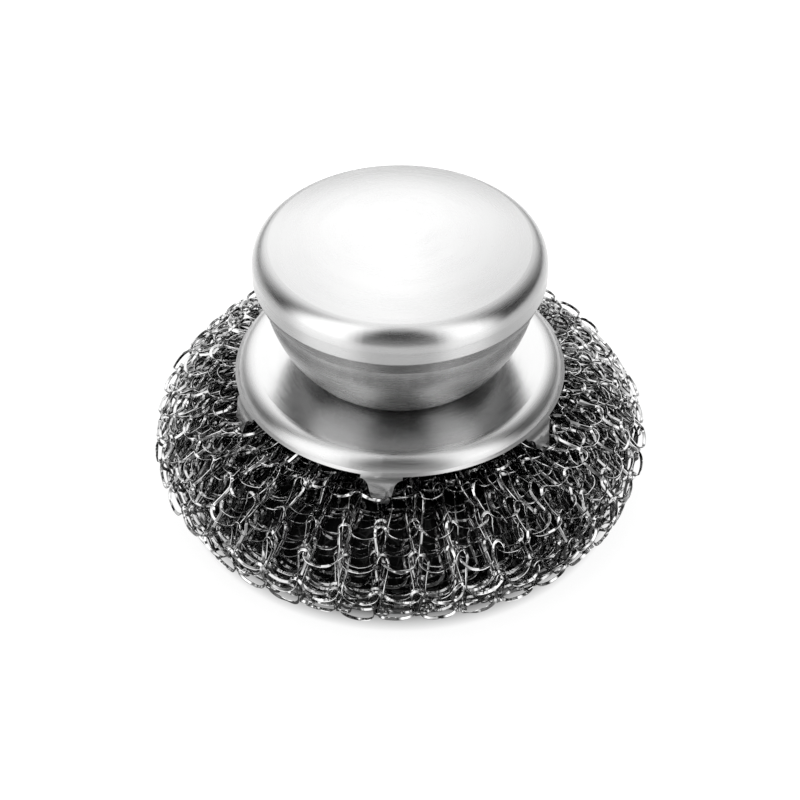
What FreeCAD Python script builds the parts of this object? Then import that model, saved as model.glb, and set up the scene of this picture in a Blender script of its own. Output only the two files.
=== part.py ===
import FreeCAD, Part
import Sketcher
import math
import os

# Pot scrubber: a hollow steel knob screwed to a clawed disc that grips a rolled ball of knitted wire.
# The ball stands on the plane z = 0 and its axis is the z axis. Lengths are millimetres, angles degrees.

doc = FreeCAD.newDocument("pot_scrubber")
sheet = doc.addObject("Spreadsheet::Sheet", "Sizes")

sizes = [
    # whole scrubber
    ("overall_height", 55.0),
    ("sheet", 0.5),                # wall of the pressed cap, cup and disc
    # wire ball
    ("ball_radius", 45.0),
    ("ball_flat", 35.0),           # radius of the underside that stands on the table
    ("ball_waist", 11.0),          # height of the widest ring
    ("ball_height", 24.2),         # shoulder under the lip of the disc
    ("ball_wales", 40),            # columns of loops round the ball
    ("courses_below", 3),          # rows of loops from the underside to the widest ring
    ("courses_above", 4),          # rows of loops from there to the shoulder
    ("bulge_share", 1.25),         # power of the curve from waist to shoulder: 1 is a quarter ellipse
    ("loop_share", 0.45),          # width of a loop, as a share of its column
    ("droop_share", 0.7),          # how far loops hang below the valleys, as a share of half a row
    ("flute_depth", 1.3),          # of the valleys between the columns
    ("mesh_depth", 4.5),           # of the openings between two rows of loops
    ("navel_radius", 7.0),         # puckered hollow in the middle of the underside
    ("navel_depth", 6.0),
    ("navel_floor", 2.5),
    # clawed disc
    ("plate_radius", 25.6),        # flat brushed top
    ("rim_round", 3.2),
    ("rim_angle", 75.0),
    ("lip_width", 0.6),
    ("lip_angle", 35.0),
    ("claw_count", 6),
    ("claw_front_angle", 264.0),   # azimuth of the front claw
    ("claw_root", 7.0),            # width at the lip
    ("claw_neck", 4.2),
    ("claw_tip", 1.7),
    ("claw_fillet", 1.5),
    ("claw_bend", 2.2),
    ("claw_angle", 78.0),
    ("claw_reach", 2.4),           # straight length between the bends
    ("claw_hook", 2.0),
    ("hook_angle", 140.0),
    # knob cap
    ("cap_height", 12.0),
    ("cap_radius", 25.15),
    ("cap_corner", 4.0),
    ("dome_angle", 16.0),          # at the edge of the dome
    ("hem_round", 0.8),
    ("hem_length", 2.7),
    ("hem_angle", 112.0),
    # knob cup
    ("cup_corner", 6.0),           # round of the bowl at its floor
    ("cup_angle", 50.0),           # where that round runs into the wall
    ("mouth_angle", 86.0),
    ("flare_round", 0.4),
    ("flare_angle", 69.0),
    ("flare_length", 0.9),
    # fastener
    ("screw_radius", 2.5),
    ("screw_length", 8.0),
    ("head_radius", 4.75),
    ("head_height", 3.3),
    ("head_round", 1.4),
    ("recess_width", 1.3),
    ("recess_span", 5.2),
    ("recess_depth", 1.6),
    ("nut_flats", 8.0),
    ("nut_height", 4.0),
    ("nut_bevel", 0.6),
    ("plain_radius", 6.0),
    ("plain_thick", 1.0),
    ("spring_radius", 4.6),
    ("spring_thick", 1.3),
    ("split_angle", 12.0),
    # clearances
    ("seat_gap", 0.3),
    ("soft_gap", 0.8),
    ("hem_gap", 0.1),
    ("hole_gap", 0.25),
    ("thread_gap", 0.05),
    ("overrun", 1.0),
]

for row, (alias, value) in enumerate(sizes, start=1):
    sheet.set(f"A{row}", alias)
    sheet.set(f"B{row}", str(value))
    sheet.setAlias(f"B{row}", alias)
doc.recompute()

# Heights and radii that follow from the named sizes, as expressions over the sheet
rim_fall = "Sizes.rim_round * (1 - cos(Sizes.rim_angle))"
lip_fall = "Sizes.lip_width * sin(Sizes.lip_angle)"
lip_low = "(Sizes.ball_height + Sizes.seat_gap)"
crease_z = f"({lip_low} + Sizes.sheet * cos(Sizes.lip_angle) + {lip_fall})"
crease_r = "(Sizes.plate_radius + Sizes.rim_round * sin(Sizes.rim_angle))"
plate_top = f"({crease_z} + {rim_fall})"
plate_low = f"({plate_top} - Sizes.sheet)"
lip_z = f"({crease_z} - {lip_fall})"
lip_r = f"({crease_r} + Sizes.lip_width * cos(Sizes.lip_angle))"
cap_low = "(Sizes.overall_height - Sizes.cap_height)"
hem_turn = "Sizes.hem_round * (1 - sin(Sizes.hem_angle))"
hem_lip_r = f"(Sizes.cap_radius - {hem_turn} + Sizes.hem_length * cos(Sizes.hem_angle))"
cup_mouth = f"({hem_lip_r} - Sizes.sheet * sin(Sizes.hem_angle) - Sizes.hem_gap)"
mouth_z = f"({cap_low} - Sizes.sheet * cos(Sizes.hem_angle))"
floor_top = f"({plate_top} + Sizes.sheet)"
screw_hole = "(Sizes.screw_radius + Sizes.hole_gap)"
spring_top = f"({plate_low} - Sizes.plain_thick)"
head_top = f"({spring_top} - Sizes.spring_thick)"
head_low = f"({head_top} - Sizes.head_height)"
crown_top = f"({plate_low} - Sizes.seat_gap)"


def size(expression):
    return float(sheet.evalExpression(expression))


def new_body(label):
    body = doc.addObject("PartDesign::Body", label)
    body.Label = label
    return body


def plane(body, role):
    return next(item for item in body.Origin.OriginFeatures if item.Role == role)


def new_sketch(body, name, role):
    sketch = body.newObject("Sketcher::SketchObject", name)
    sketch.AttachmentSupport = (plane(body, role), [""])
    sketch.MapMode = "FlatFace"
    return sketch


def pin_point(sketch, index, end, place):
    # holds one corner at its two expressions, or on an axis where one of them is zero
    for axis, kind, expression in ((-2, "DistanceX", place[0]), (-1, "DistanceY", place[1])):
        if expression == "0":
            sketch.addConstraint(Sketcher.Constraint("PointOnObject", index, end, axis))
            continue
        number = sketch.addConstraint(Sketcher.Constraint(kind, -1, 1, index, end, size(expression)))
        sketch.setExpression(f"Constraints[{number}]", expression)


def outline(body, name, role, corners, arcs=None):
    # Closed outline through the corners. arcs gives, for the run that starts at a corner, the radius and
    # the side on which the run bulges: 1 to the right of the direction of travel, -1 to the left.
    arcs = arcs or {}
    sketch = new_sketch(body, name, role)
    points = [FreeCAD.Vector(size(x), size(y), 0) for x, y in corners]
    starts = []
    ends = []
    for index, start in enumerate(points):
        end = points[(index + 1) % len(points)]
        if index not in arcs:
            sketch.addGeometry(Part.LineSegment(start, end))
            starts.append(1)
            ends.append(2)
            continue
        radius, side = arcs[index]
        chord = end - start
        right = FreeCAD.Vector(chord.y, -chord.x, 0).normalize()
        half = chord.Length / 2
        bulge = size(radius) - math.sqrt(size(radius) ** 2 - half ** 2)
        middle = (start + end) / 2 + right * bulge * side
        sketch.addGeometry(Part.Arc(start, middle, end))
        starts.append(1 if side > 0 else 2)
        ends.append(2 if side > 0 else 1)
    for index, place in enumerate(corners):
        before = index - 1 if index else len(corners) - 1
        sketch.addConstraint(Sketcher.Constraint("Coincident", before, ends[before], index, starts[index]))
        pin_point(sketch, index, starts[index], place)
    for index, (radius, side) in arcs.items():
        number = sketch.addConstraint(Sketcher.Constraint("Radius", index, size(radius)))
        sketch.setExpression(f"Constraints[{number}]", radius)
    return sketch


def revolve(body, name, sketch, angle="360"):
    feature = body.newObject("PartDesign::Revolution", name)
    feature.Profile = sketch
    feature.ReferenceAxis = (sketch, ["V_Axis"])
    feature.setExpression("Angle", angle)
    return feature


def strip(start, moves, side):
    # Section of a bent sheet. The traced face begins at start, heads outwards along the radius, and each
    # move is a straight run, a bend to the right or left, or a sharp crease. Slopes are degrees below the
    # level. side is 1 where the sheet lies to the right of the traced face, and -1 where to the left.
    def behind(place, slope):
        across = f"({place[0]} - {side} * Sizes.sheet * sin({slope}))"
        down = f"({place[1]} - {side} * Sizes.sheet * cos({slope}))"
        return across, down

    place, slope = start, "0"
    front, back, bends = [place], [behind(place, slope)], {}
    for kind, amount, *rest in moves:
        if kind == "run":
            place = (f"({place[0]} + {amount} * cos({slope}))", f"({place[1]} - {amount} * sin({slope}))")
        elif kind == "crease":
            turn = f"{side} * Sizes.sheet / (1 + cos({slope} - {amount}))"
            back[-1] = (f"({place[0]} - {turn} * (sin({slope}) + sin({amount})))",
                        f"({place[1]} - {turn} * (cos({slope}) + cos({amount})))")
            slope = amount
            continue
        else:
            last = rest[0]
            hand = 1 if kind == "right" else -1
            bends[len(front) - 1] = (amount, hand)
            place = (f"({place[0]} + {hand} * {amount} * (sin({last}) - sin({slope})))",
                     f"({place[1]} + {hand} * {amount} * (cos({last}) - cos({slope})))")
            slope = last
        front.append(place)
        back.append(behind(place, slope))
    arcs = {}
    for index, (radius, hand) in bends.items():
        arcs[index] = (radius, -hand)
        arcs[2 * len(front) - 2 - index] = (f"({radius} - {side * hand} * Sizes.sheet)", hand)
    return front + back[::-1], arcs


def sheet_ring(body, name, start, moves, side):
    corners, arcs = strip(start, moves, side)
    return revolve(body, f"{name}_form", outline(body, f"{name}_outline", "XZ_Plane", corners, arcs))


def round_hole(body, name, radius):
    # hole on the axis, right through
    doc.recompute()
    sketch = new_sketch(body, name + "_sketch", "XY_Plane")
    circle = Part.Circle(FreeCAD.Vector(0, 0, 0), FreeCAD.Vector(0, 0, 1), size(radius))
    sketch.addGeometry(circle)
    sketch.addConstraint(Sketcher.Constraint("Coincident", 0, 3, -1, 1))
    number = sketch.addConstraint(Sketcher.Constraint("Radius", 0, size(radius)))
    sketch.setExpression(f"Constraints[{number}]", radius)
    hole = body.newObject("PartDesign::Pocket", name)
    hole.Profile = sketch
    hole.Type = "ThroughAll"
    hole.Midplane = True
    return hole


# Cap of the knob: shallow dome, rounded edge, short skirt and a hem turned in at its foot
def make_knob_cap():
    body = new_body("knob_cap")
    dome = "((Sizes.cap_radius - Sizes.cap_corner * (1 - sin(Sizes.dome_angle))) / sin(Sizes.dome_angle))"
    dome_fall = f"{dome} * (1 - cos(Sizes.dome_angle)) + Sizes.cap_corner * cos(Sizes.dome_angle)"
    hem_fall = "Sizes.hem_length * sin(Sizes.hem_angle) - Sizes.hem_round * cos(Sizes.hem_angle)"
    skirt = f"(Sizes.cap_height - ({dome_fall}) - ({hem_fall}))"
    moves = [
        ("right", dome, "Sizes.dome_angle"),
        ("right", "Sizes.cap_corner", "90"),
        ("run", skirt),
        ("right", "Sizes.hem_round", "Sizes.hem_angle"),
        ("run", "Sizes.hem_length"),
    ]
    sheet_ring(body, "cap", ("0", "Sizes.overall_height"), moves, 1)
    return body


# Cup of the knob: flat floor, round bowl, and a flared rim that lies in the hem of the cap
def make_knob_cup():
    body = new_body("knob_cup")
    low, high = "Sizes.cup_angle", "Sizes.mouth_angle"
    wall_rise = f"({mouth_z} - {plate_top} - Sizes.cup_corner * (1 - cos({low})))"
    bowl = f"({wall_rise} / (cos({low}) - cos({high})))"
    wall_spread = f"(Sizes.cup_corner * sin({low}) + {bowl} * (sin({high}) - sin({low})))"
    moves = [
        ("run", f"({cup_mouth} - {wall_spread} - {screw_hole})"),
        ("left", "Sizes.cup_corner", f"-{low}"),
        ("left", bowl, f"-{high}"),
        ("right", "Sizes.flare_round", "-Sizes.flare_angle"),
        ("run", "Sizes.flare_length"),
    ]
    sheet_ring(body, "cup", (screw_hole, plate_top), moves, -1)
    return body


# Disc with its rolled rim, crease and lip, and the claws that grow out of the lip and hook into the ball
def make_claw_disc():
    body = new_body("claw_disc")
    moves = [
        ("run", f"(Sizes.plate_radius - {screw_hole})"),
        ("right", "Sizes.rim_round", "Sizes.rim_angle"),
        ("crease", "Sizes.lip_angle"),
        ("run", "Sizes.lip_width"),
    ]
    sheet_ring(body, "disc", (screw_hole, plate_top), moves, 1)

    # one claw: a strip that leaves the lip, bends down, runs straight and hooks in at the tip
    lap = "Sizes.lip_width / 2"
    start = (f"({lip_r} - {lap} * cos(Sizes.lip_angle))", f"({lip_z} + {lap} * sin(Sizes.lip_angle))")
    moves = [
        ("crease", "Sizes.lip_angle"),
        ("run", lap),
        ("right", "Sizes.claw_bend", "Sizes.claw_angle"),
        ("run", "Sizes.claw_reach"),
        ("right", "Sizes.claw_hook", "Sizes.hook_angle"),
    ]
    corners, arcs = strip(start, moves, 1)
    tip = corners[len(corners) // 2 - 1]
    claw_outline = outline(body, "claw_outline", "XZ_Plane", corners, arcs)
    claw_form = revolve(body, "claw_form", claw_outline, f"2 * asin(Sizes.claw_root / 2 / {lip_r})")
    claw_form.Midplane = True

    # the strip is trimmed to a taper with rounded roots, the same on both sides
    tip_z = f"({tip[1]} - Sizes.overrun)"
    neck_z = f"({lip_low} - Sizes.claw_fillet)"
    trims = []
    for side, name in ((1, "right"), (-1, "left")):
        edge = [
            (f"{side} * (Sizes.claw_neck / 2 + Sizes.claw_fillet)", lip_low),
            (f"{side} * Sizes.claw_neck / 2", neck_z),
            (f"{side} * Sizes.claw_tip / 2", tip_z),
            (f"{side} * (Sizes.claw_root / 2 + Sizes.overrun)", tip_z),
            (f"{side} * (Sizes.claw_root / 2 + Sizes.overrun)", lip_low),
        ]
        sketch = outline(body, f"trim_{name}_outline", "YZ_Plane", edge, {0: ("Sizes.claw_fillet", side)})
        trim = body.newObject("PartDesign::Pocket", f"trim_{name}")
        trim.Profile = sketch
        trim.Type = "ThroughAll"
        trim.Midplane = True
        trims.append(trim)
    doc.recompute()
    ring = body.newObject("PartDesign::PolarPattern", "claw_ring")
    ring.Originals = [claw_form] + trims
    ring.Axis = (claw_outline, ["V_Axis"])
    ring.Angle = 360
    ring.setExpression("Occurrences", "Sizes.claw_count")
    body.Tip = ring
    body.setExpression("Placement.Rotation.Angle", "Sizes.claw_front_angle")
    return body


# Hexagon nut on the floor of the cup
def make_knob_nut():
    body = new_body("knob_nut")
    sketch = new_sketch(body, "nut_outline", "XY_Plane")
    corner = "Sizes.nut_flats / sqrt(3)"
    hexagon = [FreeCAD.Vector(size(corner), 0, 0)]
    for step in range(1, 7):
        turn = math.radians(60 * step)
        hexagon.append(FreeCAD.Vector(size(corner) * math.cos(turn), size(corner) * math.sin(turn), 0))
        sketch.addGeometry(Part.LineSegment(hexagon[step - 1], hexagon[step]))
    circle = Part.Circle(FreeCAD.Vector(0, 0, 0), FreeCAD.Vector(0, 0, 1), size(corner))
    guide = sketch.addGeometry(circle, True)
    sketch.addConstraint(Sketcher.Constraint("Coincident", guide, 3, -1, 1))
    for side in range(6):
        sketch.addConstraint(Sketcher.Constraint("Coincident", side, 2, (side + 1) % 6, 1))
        sketch.addConstraint(Sketcher.Constraint("PointOnObject", side, 1, guide))
    for side in range(1, 6):
        sketch.addConstraint(Sketcher.Constraint("Equal", 0, side))
    sketch.addConstraint(Sketcher.Constraint("PointOnObject", 0, 1, -1))
    number = sketch.addConstraint(Sketcher.Constraint("Radius", guide, size(corner)))
    sketch.setExpression(f"Constraints[{number}]", corner)
    prism = body.newObject("PartDesign::Pad", "nut_form")
    prism.Profile = sketch
    prism.setExpression("Length", "Sizes.nut_height")
    doc.recompute()
    bevel = [
        ("(Sizes.nut_flats / 2)", "Sizes.nut_height"),
        (f"({corner} + Sizes.overrun)", "Sizes.nut_height"),
        (f"({corner} + Sizes.overrun)", "(Sizes.nut_height - Sizes.nut_bevel - Sizes.overrun / sqrt(3))"),
    ]
    cut = body.newObject("PartDesign::Groove", "nut_bevel")
    cut.Profile = outline(body, "bevel_outline", "XZ_Plane", bevel)
    cut.ReferenceAxis = (cut.Profile[0], ["V_Axis"])
    cut.Angle = 360
    round_hole(body, "nut_bore", "(Sizes.screw_radius + Sizes.thread_gap)")
    body.setExpression("Placement.Base.z", floor_top)
    return body


# Pan-head screw, put in from below, with a cross recess in its head
def make_clamp_screw():
    body = new_body("clamp_screw")
    shank_top = f"({head_top} + Sizes.screw_length)"
    corners = [
        ("0", head_low),
        ("(Sizes.head_radius - Sizes.head_round)", head_low),
        ("Sizes.head_radius", f"({head_low} + Sizes.head_round)"),
        ("Sizes.head_radius", head_top),
        ("Sizes.screw_radius", head_top),
        ("Sizes.screw_radius", shank_top),
        ("0", shank_top),
    ]
    head_arc = {1: ("Sizes.head_round", 1)}
    revolve(body, "screw_form", outline(body, "screw_outline", "XZ_Plane", corners, head_arc))
    doc.recompute()
    half, arm = "Sizes.recess_width / 2", "Sizes.recess_span / 2"
    signs = ((1, 1), (-1, 1), (-1, -1), (1, -1))
    cross = []
    for number, (x, y) in enumerate(signs):
        corner = [
            (f"{x} * {arm}", f"{y} * {half}"),
            (f"{x} * {half}", f"{y} * {half}"),
            (f"{x} * {half}", f"{y} * {arm}"),
        ]
        cross += corner if number % 2 == 0 else corner[::-1]
    recess = body.newObject("PartDesign::Pocket", "screw_recess")
    recess.Profile = outline(body, "recess_outline", "XY_Plane", cross)
    recess.setExpression("Length", f"{head_low} + Sizes.recess_depth")
    recess.Reversed = True
    return body


def make_plain_washer():
    rim = doc.addObject("Part::Cylinder", "plain_rim")
    rim.setExpression("Radius", "Sizes.plain_radius")
    rim.setExpression("Height", "Sizes.plain_thick")
    bore = doc.addObject("Part::Cylinder", "plain_bore")
    bore.setExpression("Radius", screw_hole)
    bore.setExpression("Height", "Sizes.plain_thick")
    washer = doc.addObject("Part::Cut", "plain_washer")
    washer.Base = rim
    washer.Tool = bore
    washer.Label = "plain_washer"
    washer.setExpression("Placement.Base.z", spring_top)
    return washer


# Spring washer: square-section ring with a narrow split, flattened by the tightened screw
def make_spring_washer():
    body = new_body("spring_washer")
    corners = [
        (screw_hole, head_top),
        ("Sizes.spring_radius", head_top),
        ("Sizes.spring_radius", spring_top),
        (screw_hole, spring_top),
    ]
    ring = outline(body, "spring_outline", "XZ_Plane", corners)
    revolve(body, "spring_form", ring, "360 - Sizes.split_angle")
    return body


# Point on the section of the wire ball. Steps count half rows of loops, from the edge of the flat underside
# over the widest ring up to the shoulder.
def bun_point(step):
    radius, flat, waist = size("Sizes.ball_radius"), size("Sizes.ball_flat"), size("Sizes.ball_waist")
    shoulder, rise = size(f"{lip_r} + Sizes.seat_gap"), size("Sizes.ball_height - Sizes.ball_waist")
    bulge_share = size("Sizes.bulge_share")
    below, above = 2 * size("Sizes.courses_below"), 2 * size("Sizes.courses_above")
    if step <= below:
        turn = math.pi / 2 * step / below
        return FreeCAD.Vector(flat + (radius - flat) * math.sin(turn), 0, waist * (1 - math.cos(turn)))
    turn = math.pi / 2 * (step - below) / above
    across, upward = max(math.cos(turn), 0) ** bulge_share, math.sin(turn) ** bulge_share
    return FreeCAD.Vector(shoulder + (radius - shoulder) * across, 0, waist + rise * upward)


# The same point sunk into the ball, square to the section
def sunk_point(step, depth):
    slope_share = 0.1
    run = bun_point(step + slope_share) - bun_point(step - slope_share)
    inward = FreeCAD.Vector(-run.z, 0, run.x).normalize()
    return bun_point(step) + inward * depth


# Corners of a closed star, two at the loop of each column and one in the valley after it. The middle of the
# straight run across a loop lies at the given place.
def ribbed_ring(loop, valley):
    wales = int(size("Sizes.ball_wales"))
    half_loop = math.pi / wales * size("Sizes.loop_share")
    points = []
    for wale in range(wales):
        for place, offset in ((loop, -half_loop), (loop, half_loop), (valley, math.pi / wales)):
            turn = 2 * math.pi * wale / wales + offset
            reach = place.x / math.cos(half_loop)
            points.append(FreeCAD.Vector(reach * math.cos(turn), reach * math.sin(turn), place.z))
    return points


def facet(*corners):
    return Part.Face(Part.makePolygon(corners + corners[:1]))


# Facets between two neighbouring rings: one across each loop, and two from there to either valley
def band(low, high):
    facets = []
    for index, a in enumerate(low):
        after = (index + 1) % len(low)
        b, c, d = low[after], high[after], high[index]
        if index % 3 == 0:
            facets.append(facet(a, b, c, d))
        elif index % 3 == 1:
            facets += [facet(a, b, d), facet(b, c, d)]
        else:
            facets += [facet(a, b, c), facet(a, c, d)]
    return facets


# Rings of the ball from its flat underside up to the crown that is squeezed into the hollow of the disc.
# Between the underside and the shoulder each row of loops is a raised ring and then a sunk one.
def bun_rings():
    flute, mesh, droop = size("Sizes.flute_depth"), size("Sizes.mesh_depth"), size("Sizes.droop_share")
    last = 2 * int(size("Sizes.courses_below + Sizes.courses_above"))
    foot_z = size("Sizes.ball_height + Sizes.seat_gap / 2")
    crown, crown_z = size("Sizes.plate_radius - Sizes.soft_gap"), size(crown_top)

    def level_ring(place):
        return ribbed_ring(place, place - FreeCAD.Vector(flute, 0, 0))

    rings = [level_ring(bun_point(0))]
    for step in range(1, last):
        depth = mesh if step % 2 else 0
        rings.append(ribbed_ring(sunk_point(step, depth), sunk_point(step + droop, flute)))
    rings.append(level_ring(bun_point(last)))
    rings.append(level_ring(FreeCAD.Vector(crown + crown_z - foot_z, 0, foot_z)))
    rings.append(level_ring(FreeCAD.Vector(crown, 0, crown_z)))
    return rings


# Room in the ball for one claw
def claw_notch(number):
    low = f"({lip_z} - Sizes.claw_bend - Sizes.claw_reach - Sizes.claw_hook - Sizes.soft_gap)"
    inner = f"({lip_r} - Sizes.claw_hook - Sizes.soft_gap)"
    outer = f"({lip_r} + Sizes.claw_bend + Sizes.soft_gap)"
    half_span = "(Sizes.claw_root / 2 + Sizes.soft_gap)"
    turn = f"(Sizes.claw_front_angle + 360 * {number} / Sizes.claw_count)"
    notch = doc.addObject("Part::Box", f"claw_notch_{number + 1}")
    notch.setExpression("Length", f"{outer} - {inner}")
    notch.setExpression("Width", f"2 * {half_span}")
    notch.setExpression("Height", f"Sizes.ball_height - {low} + Sizes.overrun")
    notch.setExpression("Placement.Base.x", f"{inner} * cos({turn}) + {half_span} * sin({turn})")
    notch.setExpression("Placement.Base.y", f"{inner} * sin({turn}) - {half_span} * cos({turn})")
    notch.setExpression("Placement.Base.z", low)
    notch.setExpression("Placement.Rotation.Angle", turn)
    return notch


# Wire ball: a flat-bottomed bun in the form of its knitting, rows of loops with openings between them, with
# room for the screw head and the claws, and the hollow underneath where the sleeve is drawn together
def make_wire_ball():
    bun = doc.addObject("Part::Feature", "bun")
    rings = bun_rings()
    facets = [facet(*rings[0]), facet(*rings[-1])]
    for low, high in zip(rings, rings[1:]):
        facets += band(low, high)
    bun.Shape = Part.Solid(Part.Shell(facets))
    bun.Placement = FreeCAD.Placement()
    well_low = f"({head_low} - Sizes.soft_gap)"
    well = doc.addObject("Part::Cylinder", "screw_well")
    well.setExpression("Radius", "Sizes.plain_radius + Sizes.soft_gap")
    well.setExpression("Height", f"{crown_top} - {well_low} + Sizes.overrun")
    well.setExpression("Placement.Base.z", well_low)
    navel = doc.addObject("Part::Cone", "navel")
    navel.setExpression("Radius1", "Sizes.navel_radius")
    navel.setExpression("Radius2", "Sizes.navel_floor")
    navel.setExpression("Height", "Sizes.navel_depth")
    hollows = doc.addObject("Part::MultiFuse", "ball_hollows")
    hollows.Shapes = [well, navel] + [claw_notch(number) for number in range(int(size("Sizes.claw_count")))]
    ball = doc.addObject("Part::Cut", "wire_ball")
    ball.Base = bun
    ball.Tool = hollows
    ball.Label = "wire_ball"
    return ball


subparts = [
    make_knob_cap(),
    make_knob_cup(),
    make_knob_nut(),
    make_claw_disc(),
    make_clamp_screw(),
    make_plain_washer(),
    make_spring_washer(),
    make_wire_ball(),
]
doc.recompute()

for item in doc.Objects:
    if "Invalid" in item.State or "Error" in item.State:
        raise RuntimeError(f"{item.Label} failed: {item.State}")
for item in subparts:
    if item.Shape.isNull() or not item.Shape.isValid() or not item.Shape.Solids:
        raise RuntimeError(f"{item.Label} has no valid solid")

os.makedirs("parts", exist_ok=True)
for item in subparts:
    item.Shape.exportStep(f"parts/{item.Label}.step")
    box = item.Shape.BoundBox
    print(f"{item.Label}: {len(item.Shape.Solids)} solid, {item.Shape.Volume:.1f} mm3, "
          f"z {box.ZMin:.2f} to {box.ZMax:.2f}, width {box.XLength:.2f}")
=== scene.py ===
import math
import bpy
import numpy as np
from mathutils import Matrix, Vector


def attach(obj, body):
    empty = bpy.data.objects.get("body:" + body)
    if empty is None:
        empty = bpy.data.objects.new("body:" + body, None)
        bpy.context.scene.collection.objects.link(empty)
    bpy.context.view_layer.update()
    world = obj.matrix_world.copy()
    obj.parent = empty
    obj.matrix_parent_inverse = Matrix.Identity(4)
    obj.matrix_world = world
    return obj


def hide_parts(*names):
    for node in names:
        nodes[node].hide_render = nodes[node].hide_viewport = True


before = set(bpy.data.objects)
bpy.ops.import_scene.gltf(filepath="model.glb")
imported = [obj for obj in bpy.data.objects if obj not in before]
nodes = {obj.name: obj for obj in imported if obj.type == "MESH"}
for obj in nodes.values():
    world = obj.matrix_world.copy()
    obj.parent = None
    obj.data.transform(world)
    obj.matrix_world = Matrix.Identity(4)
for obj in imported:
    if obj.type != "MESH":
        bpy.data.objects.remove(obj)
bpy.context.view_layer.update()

mm = 0.001
print("frame loaded:", ", ".join(sorted(nodes)))


# small helpers for shader trees
def newMaterial(name):
    material = bpy.data.materials.new(name)
    material.use_nodes = True
    tree = material.node_tree
    tree.nodes.clear()
    return material, tree


def inputOf(node, key):
    # i0, i1 and so on go by number, other keys by the name of the input
    if key[0] == "i" and key[1:].isdigit():
        return node.inputs[int(key[1:])]
    return node.inputs[key.replace("_", " ")]


def addNode(tree, kind, settings=None, **inputs):
    node = tree.nodes.new(kind)
    for key, value in (settings or {}).items():
        setattr(node, key, value)
    for key, value in inputs.items():
        socket = inputOf(node, key)
        if isinstance(value, bpy.types.NodeSocket):
            tree.links.new(value, socket)
        else:
            socket.default_value = value
    return node


def calc(tree, operation, a, b):
    return addNode(tree, "ShaderNodeMath", {"operation": operation}, i0=a, i1=b).outputs[0]


def vectorCalc(tree, operation, **inputs):
    outputs = addNode(tree, "ShaderNodeVectorMath", {"operation": operation}, **inputs).outputs
    return outputs["Value"] if operation in ("LENGTH", "DOT_PRODUCT") else outputs[0]


def stretch(tree, value, low, high, newLow, newHigh):
    return addNode(tree, "ShaderNodeMapRange", None, Value=value, From_Min=low, From_Max=high,
                   To_Min=newLow, To_Max=newHigh).outputs["Result"]


def softStep(tree, value, low, high):
    smooth = {"interpolation_type": "SMOOTHSTEP"}
    step = addNode(tree, "ShaderNodeMapRange", smooth, Value=value, From_Min=low, From_Max=high)
    return step.outputs["Result"]


noiseSpan = (0.3, 0.7)  # most of a noise lies in here


def spread(tree, noise, low, high):
    return stretch(tree, noise, *noiseSpan, low, high)


def greyOf(tree, value):
    return addNode(tree, "ShaderNodeCombineColor", None, Red=value, Green=value, Blue=value).outputs["Color"]


def objectPlace(tree):
    return addNode(tree, "ShaderNodeTexCoord").outputs["Object"]


def bareMetal(tree, **inputs):
    metal = addNode(tree, "ShaderNodeBsdfPrincipled", None, Metallic=1.0, **inputs)
    addNode(tree, "ShaderNodeOutputMaterial", None, Surface=metal.outputs[0])


# place in mm: away from the axis as a vector and as a length, and the height
def axisPlace(tree):
    inMm = vectorCalc(tree, "SCALE", i0=objectPlace(tree), Scale=1 / mm)
    flat = vectorCalc(tree, "MULTIPLY", i0=inMm, i1=(1, 1, 0))
    radius = vectorCalc(tree, "LENGTH", i0=flat)
    height = addNode(tree, "ShaderNodeSeparateXYZ", None, Vector=inMm).outputs["Z"]
    return flat, radius, height


# brush marks follow rings round the axis, whatever the height
def ringNoise(tree, look, kind):
    flat, radius, height = axisPlace(tree)
    way = vectorCalc(tree, "NORMALIZE", i0=flat)
    ring = vectorCalc(tree, "SCALE", i0=way, Scale=look[kind + "Strokes"])
    parts = addNode(tree, "ShaderNodeSeparateXYZ", None, Vector=ring).outputs
    across = calc(tree, "MULTIPLY", radius, look[kind + "Rings"])
    up = calc(tree, "MULTIPLY", height, look[kind + "Rings"])
    spot = addNode(tree, "ShaderNodeCombineXYZ", None, X=parts["X"], Y=parts["Y"], Z=across).outputs[0]
    noise = addNode(tree, "ShaderNodeTexNoise", {"noise_dimensions": "4D"}, Vector=spot, W=up, Scale=1.0,
                    Detail=look[kind + "Detail"], Roughness=look["ringGrain"])
    return noise.outputs[0]


# stainless sheet with a circular brush: fine rings, broader bands of polish and a few smudges
def brushedSteel(name, look):
    material, tree = newMaterial(name)
    fine = ringNoise(tree, look, "fine")
    band = ringNoise(tree, look, "band")
    smudge = addNode(tree, "ShaderNodeTexNoise", None, Vector=objectPlace(tree), Scale=look["smudges"],
                     Detail=look["smudgeDetail"]).outputs[0]
    radius = axisPlace(tree)[1]
    rough = spread(tree, fine, -look["fineSpread"], look["fineSpread"])
    for more in (spread(tree, band, -look["bandSpread"], look["bandSpread"]),
                 stretch(tree, smudge, look["smudgeFrom"], look["smudgeTo"], 0.0, look["smudgeSpread"]),
                 look["roughness"],
                 stretch(tree, radius, look["edgeFrom"], look["edgeTo"], 0.0, look["edgeRough"])):
        rough = calc(tree, "ADD", rough, more)
    darkest = look["tone"] * (1 - look["toneSpread"])
    tone = stretch(tree, fine, look["toneFrom"], look["toneTo"], darkest, look["tone"])
    bump = addNode(tree, "ShaderNodeBump", None, Strength=look["bump"], Distance=look["bumpDepth"] * mm,
                   Height=fine).outputs[0]
    tangent = addNode(tree, "ShaderNodeTangent", {"direction_type": "RADIAL", "axis": "Z"}).outputs[0]
    bareMetal(tree, Base_Color=greyOf(tree, tone), Roughness=rough, Anisotropic=look["anisotropy"],
              Anisotropic_Rotation=look["brushTurn"], Normal=bump, Tangent=tangent)
    return material


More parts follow.
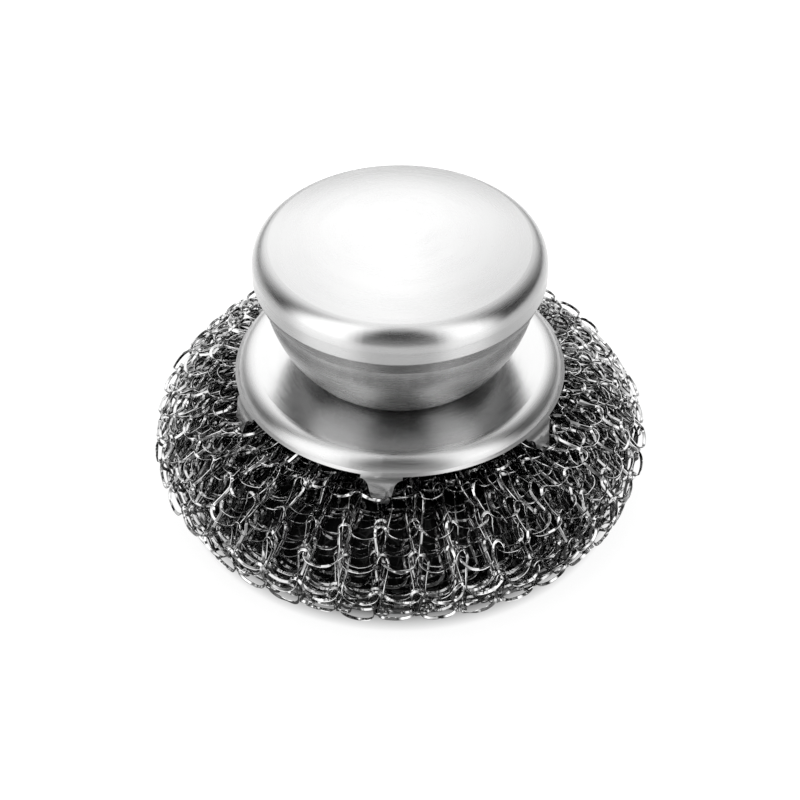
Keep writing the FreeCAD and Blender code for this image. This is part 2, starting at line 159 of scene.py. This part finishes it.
def dress(nodeNames, material):
    for nodeName in nodeNames:
        slots = nodes[nodeName].data.materials
        slots.clear()
        slots.append(material)


# strokes are counted round the axis, rings for each mm outwards; edge radii and bump depth are in mm
knobLook = dict(tone=0.50, toneSpread=0.03, toneFrom=0.25, toneTo=0.75, roughness=0.25, anisotropy=0.8,
                brushTurn=0.25, ringGrain=0.6,
                fineStrokes=5.0, fineRings=5.0, fineDetail=2.0, fineSpread=0.03,
                bandStrokes=1.2, bandRings=0.5, bandDetail=1.0, bandSpread=0.02,
                smudges=60.0, smudgeDetail=3.0, smudgeFrom=0.45, smudgeTo=0.75, smudgeSpread=0.04,
                bump=0.05, bumpDepth=0.02, edgeFrom=25.0, edgeTo=27.5, edgeRough=0.0)
# the rolled rim of the disc was left duller than its flat
discLook = dict(knobLook, tone=0.48, toneSpread=0.06, roughness=0.19, anisotropy=0.7, fineSpread=0.05,
                edgeRough=0.11)
fastenerLook = dict(knobLook, tone=0.42, roughness=0.34, anisotropy=0.3)

dress(("knob_cap", "knob_cup"), brushedSteel("knobSteel", knobLook))
dress(("claw_disc",), brushedSteel("discSteel", discLook))
dress(("knob_nut", "clamp_screw", "spring_washer", "plain_washer"),
      brushedSteel("fastenerSteel", fastenerLook))
print("steel finishes set")

# section of the rolled bun, in mm, as the middle of its outermost fabric
bun = dict(radius=43.5, flat=35.0, waist=11.0, low=1.6, shoulder=29.6, shoulderZ=23.0, bulge=1.25, hole=7.0,
           holeRound=3.0, holeTop=18.0, crownR=22.0, crownZ=26.2, steps=60)


def bunSection(inset, lowInset=None):
    # from the wall of the hollow underneath, round the outside, to the crown under the disc
    u = np.linspace(0, 1, bun["steps"])
    quarter = u * math.pi / 2
    low, high = bun["low"] + (inset if lowInset is None else lowInset), bun["shoulderZ"] - inset
    hole, wide = bun["hole"] + inset, bun["radius"] - inset
    top, corner = bun["holeTop"] - inset, bun["holeRound"]
    flat, shoulder, waist, bulge = bun["flat"], bun["shoulder"], bun["waist"], bun["bulge"]
    wall = np.stack([np.full_like(u, hole), top + (low + corner - top) * u], 1)
    turnIn = np.stack([hole + corner * (1 - np.cos(quarter)), low + corner * (1 - np.sin(quarter))], 1)
    under = np.stack([hole + corner + (flat - hole - corner) * u, np.full_like(u, low)], 1)
    lower = np.stack([flat + (wide - flat) * np.sin(quarter), low + (waist - low) * (1 - np.cos(quarter))], 1)
    upper = np.stack([shoulder + (wide - shoulder) * np.maximum(np.cos(quarter), 0) ** bulge,
                      waist + (high - waist) * np.sin(quarter) ** bulge], 1)
    bend = np.array([bun["crownR"], bun["crownZ"] - inset])
    crown = (np.outer((1 - u) ** 2, [shoulder, high]) + np.outer(2 * u * (1 - u), bend)
             + np.outer(u ** 2, [hole, top]))
    return [wall, turnIn, under, lower, upper, crown]


# knitted sleeve: loop sizes in mm, layers of the roll and how far they lie apart. Shares limit foot and head
# by the width of a loop, and the wire begins and ends some rounds inside the roll
sleeve = dict(wales=40, course=5.75, turns=6, turnGap=1.25, wireWide=0.57, wireThick=0.11, flatShare=0.68,
              footHalf=0.3, footShare=0.13, headHalf=1.1, headShare=0.30, headRise=1.25, headSink=0.95,
              arcDeep=1.8, arcOut=1.0, headOut=0.45, legIn=0.5, waistPhase=-0.07, firstRound=1.3,
              spareRounds=2.6, leastReach=8.0, cellShare=0.9, seed=7)
# how unevenly it is knitted and pressed: sizes in mm or as shares, angles in degrees
uneven = dict(arc=0.20, rise=0.25, arcOut=0.15, lean=0.30, wander=0.08, wandersPerLoop=3, wanderOut=0.5,
              sway=0.40, swayLoops=5, phase=0.12, drift=0.15, twist=0.4, tilt=16.0, kink=22.0, kinksPerLoop=8)
# half a loop has nine bends, from the middle of the sinker arc over the leg to the top of the head. Each bend
# has its shares of the sizes that place it, the number of points drawn up to the next bend, and the twist of
# the flat wire in degrees: nearly on edge in the arc, and leaning over in leg and head
halfLoop = dict(pitch=(0.5, 0, 0, 0, 0, 0, 0, 0, 0),
                chord=(0, 0.25, 0.067, 0, 0, 0, 0, 0, 0),
                foot=(0, 1, 1, 1, 0.65, 0.15, 0, 0, 0),
                head=(0, 0, 0, 0, 0.35, 0.85, 1, 0.7, 0),
                lean=(1, 0.85, 0.45, 0, 0, 0, 0, 0, 0),
                arc=(1, 0.866, 0.5, 0, 0, 0, 0, 0, 0),
                course=(0, 0, 0, 0, 0.30, 0.68, 1, 1, 1),
                sink=(0, 0, 0, 0, 0, 0, 1, 1, 1),
                rise=(0, 0, 0, 0, 0, 0, 0, 0.71, 1),
                arcOut=(1, 0.92, 0.6, 0, 0, 0, 0, 0, 0),
                legIn=(0, 0, 0, 0, 1, 1, 0, 0, 0),
                headOut=(0, 0, 0, 0, 0, 0, 0.3, 0.85, 1),
                steps=(3, 3, 2, 1, 1, 1, 2, 2),
                twists=(6, 7, 10, 16, 20, 22, 26, 33, 36))


def rolledPath():
    # whole roll from the innermost turn to the outermost, stepping out under the disc where nothing shows
    stretches, turnEnds, waists = [], [], []
    for turn in range(sleeve["turns"]):
        inset = sleeve["turnGap"] * (sleeve["turns"] - 1 - turn)
        section = bunSection(inset)
        if turn < sleeve["turns"] - 1:
            outer = bunSection(inset - sleeve["turnGap"])
            u = np.linspace(0, 1, bun["steps"])[:, None]
            section[-1] = section[-1] * (1 - u) + outer[-1] * u
        waists.append(sum(len(part) for part in stretches + section[:4]))  # the lower half ends there
        stretches += section
        turnEnds.append(sum(len(part) for part in stretches))
    points = np.concatenate(stretches)
    gap = np.linalg.norm(np.diff(points, axis=0), axis=1)
    tooClose = 1e-6  # stretches share their end points
    keep = np.concatenate([[True], gap > tooClose])
    points = points[keep]
    length = np.concatenate([[0], np.cumsum(np.linalg.norm(np.diff(points, axis=0), axis=1))])

    def lengthAt(marks):
        return length[[int(keep[:mark].sum()) - 1 for mark in marks]]

    return points, length, lengthAt(turnEnds), lengthAt(waists)


def courseRounds(length, waists, rng):
    # rounds knitted up to places on the roll: all layers have their courses nearly alike at the waist, so
    # that the loops nest
    course = sleeve["course"]
    atWaist = np.round((waists - waists[0]) / course) + sleeve["waistPhase"]
    atWaist[:-1] += rng.uniform(-1, 1, sleeve["turns"] - 1) * uneven["phase"]
    before, after = waists[0] / course, (length[-1] - waists[-1]) / course
    rounds = np.concatenate([[-before], atWaist, [atWaist[-1] + after]]) + before
    return rounds, np.concatenate([[0], waists, [length[-1]]])


def bendPlaces():
    # the drawn points of a whole loop, counted in bends
    both = halfLoop["steps"] + halfLoop["steps"][::-1]
    return np.array([at + part / many for at, many in enumerate(both) for part in range(many)])


def bendWeights(places, last):
    # weights that draw a smooth curve through the bends of a loop, mirrored past both ends
    weights = np.zeros((len(places), last + 1))
    for row, place in enumerate(places):
        at = int(place)
        t = place - at
        cubic = (-0.5 * t + t * t - 0.5 * t ** 3, 1 - 2.5 * t * t + 1.5 * t ** 3,
                 0.5 * t + 2 * t * t - 1.5 * t ** 3, -0.5 * t * t + 0.5 * t ** 3)
        for step, weight in zip((-1, 0, 1, 2), cubic):
            weights[row, abs(at + step) if at + step <= last else 2 * last - at - step] += weight
    return weights


def smoothNoise(rng, count, every, channels):
    # random values that change slowly along the wire
    knots = rng.normal(size=(count // every + 4, channels))
    place = np.arange(count) / every
    at = place.astype(int)
    t = (place - at)[:, None]
    t = t * t * (3 - 2 * t)
    return knots[at] * (1 - t) + knots[at + 1] * t


# the claws press the fabric down in front of them: the front claw's place is in degrees, lengths are in mm
claws = dict(front=264.0, count=6, ring=30.6, dent=1.3, acrossReach=2.4, outReach=3.0, inReach=4.0, deep=14.0,
             full=20.0)


def pressUnderClaws(turn, reach, height):
    for number in range(claws["count"]):
        middle = math.radians(claws["front"] + 360 / claws["count"] * number)
        off = np.angle(np.exp(1j * (turn - middle))) * reach
        beyond = np.maximum(reach - claws["ring"], 0)
        near = np.exp(-(off / claws["acrossReach"]) ** 2 - (beyond / claws["outReach"]) ** 2)
        near *= reach > claws["ring"] - claws["inReach"]
        near *= np.clip((height - claws["deep"]) / (claws["full"] - claws["deep"]), 0, 1)
        height = height - claws["dent"] * near
    return height


def loopSizes(pitch, rng):
    # sizes of all loops, each a little off
    count = len(pitch)
    foot = np.minimum(sleeve["footHalf"], sleeve["footShare"] * pitch)
    head = np.minimum(sleeve["headHalf"], sleeve["headShare"] * pitch)
    arc = sleeve["arcDeep"] * (1 + uneven["arc"] * np.clip(rng.normal(size=count), -2, 2))
    rise = sleeve["headRise"] * (1 + uneven["rise"] * rng.normal(size=count))
    arcOut = sleeve["arcOut"] * (1 + uneven["arcOut"] * np.clip(rng.normal(size=count), -2, 1))
    lean = uneven["lean"] * rng.normal(size=count)
    even = {name: np.full(count, sleeve[size]) for name, size in
            (("course", "course"), ("sink", "headSink"), ("legIn", "legIn"), ("headOut", "headOut"))}
    return dict(even, pitch=pitch, chord=pitch - 2 * foot, foot=foot, head=head, arc=arc, rise=rise,
                arcOut=arcOut, lean=lean)


def loopSide(sizes, hand):
    # bends of one side of the loops: share of a wale, height in the course and lift out of the fabric
    part = {name: np.outer(size, halfLoop[name]) for name, size in sizes.items()}
    across = part["lean"] - hand * (part["pitch"] + part["chord"] + part["foot"] + part["head"])
    up = part["course"] - part["sink"] + part["rise"] - part["arc"]
    lift = part["arcOut"] - part["legIn"] + part["headOut"]
    return across / sizes["pitch"][:, None], up, lift


def loopBends(pitch, rng):
    # bends of whole loops, from one sinker arc to the next: the two sides meet at the top of the head
    sizes = loopSizes(pitch, rng)
    left = loopSide({name: size[:-1] for name, size in sizes.items()}, 1)
    right = loopSide({name: size[1:] for name, size in sizes.items()}, -1)
    return [np.concatenate([one[:, :-1], (one[:, -1:] + two[:, -1:]) / 2, two[:, -2::-1]], 1)
            for one, two in zip(left, right)]


def wireTwist(loops, weights, rng):
    perLoop = len(weights)
    twists = np.array(halfLoop["twists"] + halfLoop["twists"][-2::-1]) @ weights.T
    twist = ((1 + uneven["twist"] * rng.normal(size=loops))[:, None] * twists).ravel()
    twist += smoothNoise(rng, len(twist), perLoop, 1)[:, 0] * uneven["tilt"]
    twist += smoothNoise(rng, len(twist), perLoop // uneven["kinksPerLoop"], 1)[:, 0] * uneven["kink"]
    return np.radians(twist)


def knitWire():
    # the whole wire as points, the way out of the fabric and the twist, and where each layer ends
    rng = np.random.default_rng(sleeve["seed"])
    path, length, turnEnds, waists = rolledPath()
    slope = np.gradient(path, length, axis=0)
    slope /= np.linalg.norm(slope, axis=1)[:, None]
    wales, turns, start = sleeve["wales"], sleeve["turns"], sleeve["firstRound"]
    rounds, reachOf = courseRounds(length, waists, rng)
    loops = int((rounds[-1] - sleeve["spareRounds"]) * wales)
    index = np.arange(loops + 1)
    base = np.interp(start + index / wales, rounds, reachOf)
    bends = loopBends(2 * math.pi * np.interp(base, length, path[:, 0]) / wales, rng)
    places = bendPlaces()
    last = bends[0].shape[1] - 1
    weights = bendWeights(places, last)
    # across a loop the curve is a steady run plus what the bends add, so that loops join smoothly
    steady = np.linspace(-0.5, 0.5, last + 1)
    share = (bends[0] - steady) @ weights.T + np.interp(places, np.arange(last + 1), steady)
    along, lift = (bends[1] @ weights.T).ravel(), (bends[2] @ weights.T).ravel()
    walesDone = (index[:-1, None] + 0.5 + share).ravel()
    count, perLoop = len(walesDone), len(places)
    wobble = smoothNoise(rng, count, perLoop // uneven["wandersPerLoop"], 3) * uneven["wander"]
    sway = smoothNoise(rng, count, perLoop * uneven["swayLoops"], 2) * uneven["sway"]
    # s runs along the section of the roll
    s = np.interp(start + walesDone / wales, rounds, reachOf) + along + wobble[:, 0] + sway[:, 0]
    lift = lift + uneven["wanderOut"] * wobble[:, 1]
    r, z = np.interp(s, length, path[:, 0]), np.interp(s, length, path[:, 1])
    outR, outZ = np.interp(s, length, slope[:, 1]), np.interp(s, length, -slope[:, 0])
    layer = np.interp(s, np.concatenate([[0], turnEnds]), np.arange(turns + 1))
    drift = np.interp(layer, np.arange(turns) + 0.5, rng.uniform(-1, 1, turns) * uneven["drift"])
    drift -= drift[-1]
    aside = (wobble[:, 2] + sway[:, 1]) / np.maximum(r, sleeve["leastReach"])
    turn = 2 * math.pi / wales * (walesDone + drift) + aside
    reach = r + lift * outR
    height = pressUnderClaws(turn, reach, z + lift * outZ)
    spot = np.stack([reach * np.cos(turn), reach * np.sin(turn), height], 1)
    out = np.stack([outR * np.cos(turn), outR * np.sin(turn), outZ], 1)
    twist = wireTwist(loops, weights, rng)
    loopLayer = layer.reshape(-1, perLoop)[:, 0]
    layerEnds = [int(np.searchsorted(loopLayer, number)) for number in range(1, turns)] + [loops]
    return spot, out, twist, perLoop, layerEnds


def ribbonCorners(spot, out, twist):
    # flat wire with rounded edges: six corners round each drawn point
    along = np.gradient(spot, axis=0)
    along /= np.linalg.norm(along, axis=1)[:, None]
    wide = out - (out * along).sum(1)[:, None] * along
    wide /= np.linalg.norm(wide, axis=1)[:, None]
    thin = np.cross(along, wide)
    lean, upright = np.sin(twist)[:, None], np.cos(twist)[:, None]
    wide, thin = wide * upright + thin * lean, thin * upright - wide * lean
    halfWide, halfThin, flat = sleeve["wireWide"] / 2, sleeve["wireThick"] / 2, sleeve["flatShare"]
    section = ((1, 0), (flat, 1), (-flat, 1), (-1, 0), (-flat, -1), (flat, -1))
    return np.stack([spot + a * halfWide * wide + b * halfThin * thin for a, b in section], 1)


def bakeCells(mesh, step, side, sides, perLoop):
    # flat pattern for baking: one cell of a square grid for each loop
    across = math.ceil(math.sqrt((step.max() + 2) / perLoop))
    cell = step // perLoop
    u, v = (step % perLoop) / perLoop, side / sides
    farU, farV = u + sleeve["cellShare"] / perLoop, v + sleeve["cellShare"] / sides
    flat = np.stack([np.stack(corner, 1) for corner in ((u, v), (u, farV), (farU, farV), (farU, v))], 1)
    flat = (flat + np.stack([cell % across, cell // across], 1)[:, None, :]) / across
    mesh.uv_layers.new(name="OFBake").data.foreach_set("uv", flat.astype(np.float32).ravel())


def ribbonMesh(name, spot, out, twist, perLoop):
    corners = ribbonCorners(spot, out, twist)
    count, sides = corners.shape[:2]
    step, side = (grid.ravel() for grid in np.meshgrid(np.arange(count - 1), np.arange(sides), indexing="ij"))
    here, after = step * sides + side, step * sides + (side + 1) % sides
    quads = np.stack([here, after, after + sides, here + sides], 1)
    mesh = bpy.data.meshes.new(name)
    mesh.vertices.add(count * sides)
    mesh.vertices.foreach_set("co", (corners * mm).astype(np.float32).ravel())
    mesh.loops.add(quads.size)
    mesh.loops.foreach_set("vertex_index", quads.astype(np.int32).ravel())
    mesh.polygons.add(len(quads))
    mesh.polygons.foreach_set("loop_start", np.arange(0, quads.size, 4, dtype=np.int32))
    mesh.update(calc_edges=True)
    bakeCells(mesh, step, side, sides, perLoop)
    mesh.validate()
    mesh.shade_smooth()
    # smooth along the wire and crisp across it, so that each flat mirrors as a flat
    ends = np.empty(2 * len(mesh.edges), dtype=np.int32)
    mesh.edges.foreach_get("vertices", ends)
    lengthwise = np.abs(np.diff(ends.reshape(-1, 2), axis=1)).ravel() == sides
    mesh.attributes.new("sharp_edge", "BOOLEAN", "EDGE").data.foreach_set("value", lengthwise)
    return mesh


# drawn wire, nearly bright, a little duller in patches, and each layer darker than the one round it as
# painted shade of the deeper roll
wireLook = dict(tone=0.56, toneSpread=0.2, roughFrom=0.05, roughTo=0.11, patches=140.0, patchDetail=2.0,
                paintedLayerShade=0.79)


def wireSteel(name, tone):
    material, tree = newMaterial(name)
    patch = addNode(tree, "ShaderNodeTexNoise", None, Vector=objectPlace(tree), Scale=wireLook["patches"],
                    Detail=wireLook["patchDetail"]).outputs[0]
    grey = spread(tree, patch, tone * (1 - wireLook["toneSpread"]), tone)
    rough = spread(tree, patch, wireLook["roughFrom"], wireLook["roughTo"])
    bareMetal(tree, Base_Color=greyOf(tree, grey), Roughness=rough)
    return material


def addToBall(name, mesh, material):
    mesh.materials.append(material)
    piece = bpy.data.objects.new(name, mesh)
    bpy.context.scene.collection.objects.link(piece)
    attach(piece, "root")
    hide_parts("wire_ball")
    print(name, "faces", len(mesh.polygons))


# one piece for each layer of the roll, from the inside out; each ends where the next begins
spot, out, twist, perLoop, layerEnds = knitWire()
first = 0
for number, end in enumerate(layerEnds, 1):
    inner = len(layerEnds) - number
    part = slice(first * perLoop, end * perLoop + (1 if inner else 0))
    name = f"knitLayer{number}"
    # painted shade: the steel is darker by a share for every layer lying round this one
    steel = wireSteel(f"knitWire{number}", wireLook["tone"] * wireLook["paintedLayerShade"] ** inner)
    addToBall(name, ribbonMesh(name, spot[part], out[part], twist[part], perLoop), steel)
    first = end

# the packed middle of the roll, where no single loop can be made out, coloured near black as painted shade of
# the deep roll, with light cracks between its cells as painted glints: insets in mm, every so many points of
# the section kept
core = dict(inset=7.6, low=2.2, every=4, sides=96, tone=0.01, paintedGlint=0.04, cells=420.0, crackWide=0.08,
            roughness=0.6)


def coreMesh():
    stretches = bunSection(core["inset"], core["low"])
    section = np.concatenate([part[:-1] for part in stretches])[::core["every"]]
    turns = np.linspace(0, 2 * math.pi, core["sides"], endpoint=False)
    verts = [(r * math.cos(turn) * mm, r * math.sin(turn) * mm, z * mm) for turn in turns for r, z in section]
    count, faces = len(section), []
    for side in range(core["sides"]):
        here, there = side * count, (side + 1) % core["sides"] * count
        for at in range(count):
            after = (at + 1) % count
            faces.append((here + at, there + at, there + after, here + after))
    mesh = bpy.data.meshes.new("packedCore")
    mesh.from_pydata(verts, [], faces)
    mesh.shade_smooth()
    return mesh


def shadedPackedWire():
    material, tree = newMaterial("shadedPackedWire")
    crack = addNode(tree, "ShaderNodeTexVoronoi", {"feature": "DISTANCE_TO_EDGE"}, Vector=objectPlace(tree),
                    Scale=core["cells"]).outputs[0]
    # painted shade and painted glints: near-black cells with light cracks between them
    tone = stretch(tree, crack, 0.0, core["crackWide"], core["paintedGlint"], core["tone"])
    bareMetal(tree, Base_Color=greyOf(tree, tone), Roughness=core["roughness"])
    return material


addToBall("packedCore", coreMesh(), shadedPackedWire())

# floor: glows white for the camera and keeps a little of the object's shadow. Under the ball the glow is
# taken away as a painted shade, and the glow and gloss that the metal mirrors fade in only farther out, a
# painted shade round the ball in its reflections. Its side is in metres, the radii in mm
stage = dict(size=6.0, white=0.16, glow=0.9, shine=0.8, polish=0.35, polishRough=0.2, darkTo=36.0,
             lightFrom=41.0, mirrorFrom=50.0, mirrorFull=78.0)


def floorPaint():
    material, tree = newMaterial("paleFloor")
    ray = addNode(tree, "ShaderNodeLightPath").outputs
    reach = vectorCalc(tree, "LENGTH", i0=objectPlace(tree))
    # painted shade: the camera glow fades out towards the middle under the ball
    clear = stretch(tree, reach, stage["darkTo"] * mm, stage["lightFrom"] * mm, 0.0, 1.0)
    # painted shade in reflections: the glow and gloss that the metal sees fade out near the ball
    far = stretch(tree, reach, stage["mirrorFrom"] * mm, stage["mirrorFull"] * mm, 0.0, 1.0)
    seen = calc(tree, "MULTIPLY", calc(tree, "MULTIPLY", ray["Is Camera Ray"], stage["glow"]), clear)
    mirrored = calc(tree, "MULTIPLY", calc(tree, "MULTIPLY", ray["Is Glossy Ray"], stage["shine"]), far)
    glow = addNode(tree, "ShaderNodeEmission", None, Color=(1, 1, 1, 1),
                   Strength=calc(tree, "ADD", seen, mirrored))
    matt = addNode(tree, "ShaderNodeBsdfDiffuse", None, Color=(stage["white"],) * 3 + (1,))
    polish = greyOf(tree, calc(tree, "MULTIPLY", far, stage["polish"]))
    gloss = addNode(tree, "ShaderNodeBsdfGlossy", None, Color=polish, Roughness=stage["polishRough"])
    table = addNode(tree, "ShaderNodeAddShader", None, i0=matt.outputs[0], i1=gloss.outputs[0])
    both = addNode(tree, "ShaderNodeAddShader", None, i0=table.outputs[0], i1=glow.outputs[0])
    addNode(tree, "ShaderNodeOutputMaterial", None, Surface=both.outputs[0])
    return material


half = stage["size"] / 2
floorMesh = bpy.data.meshes.new("floor")
floorCorners = [(-half, -half, 0), (half, -half, 0), (half, half, 0), (-half, half, 0)]
floorMesh.from_pydata(floorCorners, [], [(0, 1, 2, 3)])
floor = bpy.data.objects.new("floor", floorMesh)
bpy.context.scene.collection.objects.link(floor)
floorMesh.materials.append(floorPaint())
print("floor laid")

# studio: a great soft light above and behind, and a tall soft panel at either side of the camera. Angles are
# in degrees, the panels' counted round from the front. Brightness is that of the light's own face, and the
# sky's foot, its brightness far left and far right and the limits of the front light are shares
studio = dict(dim=0.03, skyBright=2.3, skyElevation=40.0, skyEdge=76.0, skyFull=5.0, skyFoot=0.3, skyLeft=0.5,
              skyRight=0.15, panelFrom=32.0, panelSoft=26.0, leftTo=82.0, leftBright=2.35, rightTo=70.0,
              rightBright=2.35, sideBlend=0.1, frontBright=0.3, frontTop=0.7, frontFull=0.3)


def skyLight(tree, way, parts):
    rise = math.radians(studio["skyElevation"])
    facing = vectorCalc(tree, "DOT_PRODUCT", i0=way, i1=(0, math.cos(rise), math.sin(rise)))
    edge, full = math.cos(math.radians(studio["skyEdge"])), math.cos(math.radians(studio["skyFull"]))
    light = softStep(tree, facing, edge, full)
    for share in (softStep(tree, parts["Z"], 0.0, studio["skyFoot"]),
                  stretch(tree, parts["X"], -1.0, 0.0, studio["skyLeft"], 1.0),
                  stretch(tree, parts["X"], 0.0, 1.0, 1.0, studio["skyRight"]),
                  studio["skyBright"]):
        light = calc(tree, "MULTIPLY", light, share)
    return light


def panelLight(tree, parts, ring, near, soft):
    def bySide(left, right):
        return stretch(tree, parts["X"], -studio["sideBlend"], studio["sideBlend"], left, right)

    far = bySide(math.radians(studio["leftTo"]), math.radians(studio["rightTo"]))
    begun = softStep(tree, ring, near - soft, near + soft)
    notOver = softStep(tree, calc(tree, "SUBTRACT", far, ring), -soft, soft)
    panel = calc(tree, "MULTIPLY", begun, notOver)
    return calc(tree, "MULTIPLY", panel, bySide(studio["leftBright"], studio["rightBright"]))


def roomLight(tree, parts, ring, near, soft):
    low = softStep(tree, parts["Z"], studio["frontTop"], studio["frontFull"])
    ahead = calc(tree, "MULTIPLY", softStep(tree, ring, near + soft, near - soft), low)
    return stretch(tree, ahead, 0.0, 1.0, studio["dim"], studio["frontBright"])


def studioLight():
    world = bpy.data.worlds.new("studio")
    world.use_nodes = True
    tree = world.node_tree
    tree.nodes.clear()
    way = addNode(tree, "ShaderNodeTexCoord").outputs["Generated"]
    parts = addNode(tree, "ShaderNodeSeparateXYZ", None, Vector=way).outputs
    aside = addNode(tree, "ShaderNodeMath", {"operation": "ABSOLUTE"}, i0=parts["X"]).outputs[0]
    ring = calc(tree, "ARCTAN2", aside, calc(tree, "MULTIPLY", parts["Y"], -1.0))
    near, soft = math.radians(studio["panelFrom"]), math.radians(studio["panelSoft"]) / 2
    lit = calc(tree, "MAXIMUM", skyLight(tree, way, parts), panelLight(tree, parts, ring, near, soft))
    lit = calc(tree, "MAXIMUM", lit, roomLight(tree, parts, ring, near, soft))
    ray = addNode(tree, "ShaderNodeLightPath").outputs
    strength = calc(tree, "MAXIMUM", lit, ray["Is Camera Ray"])
    light = addNode(tree, "ShaderNodeBackground", None, Color=(1, 1, 1, 1), Strength=strength)
    addNode(tree, "ShaderNodeOutputWorld", None, Surface=light.outputs[0])
    return world


bpy.context.scene.world = studioLight()
print("studio lit")

# camera at the photograph's viewing angle; lengths in mm, pixels in its 800 pixel frame
view = dict(aimZ=25.0, distance=320.0, elevation=40.3, pixelsPerMm=5.63, framePixels=800, sensor=36.0,
            aimRow=362.5, clipStart=10.0)
tilt = math.radians(view["elevation"])
camera = bpy.data.cameras.new("camera")
camera.sensor_width = view["sensor"]
camera.lens = view["pixelsPerMm"] * view["distance"] / view["framePixels"] * view["sensor"]
camera.shift_y = (view["aimRow"] - view["framePixels"] / 2) / view["framePixels"]
camera.clip_start = view["clipStart"] * mm
eye = bpy.data.objects.new("camera", camera)
aim = Vector((0, 0, view["aimZ"])) * mm
eye.location = aim + Vector((0, -math.cos(tilt), math.sin(tilt))) * view["distance"] * mm
eye.rotation_euler = (aim - eye.location).to_track_quat("-Z", "Y").to_euler()
bpy.context.scene.collection.objects.link(eye)
bpy.context.scene.camera = eye
bpy.context.scene.view_settings.view_transform = "Standard"
print("camera set")
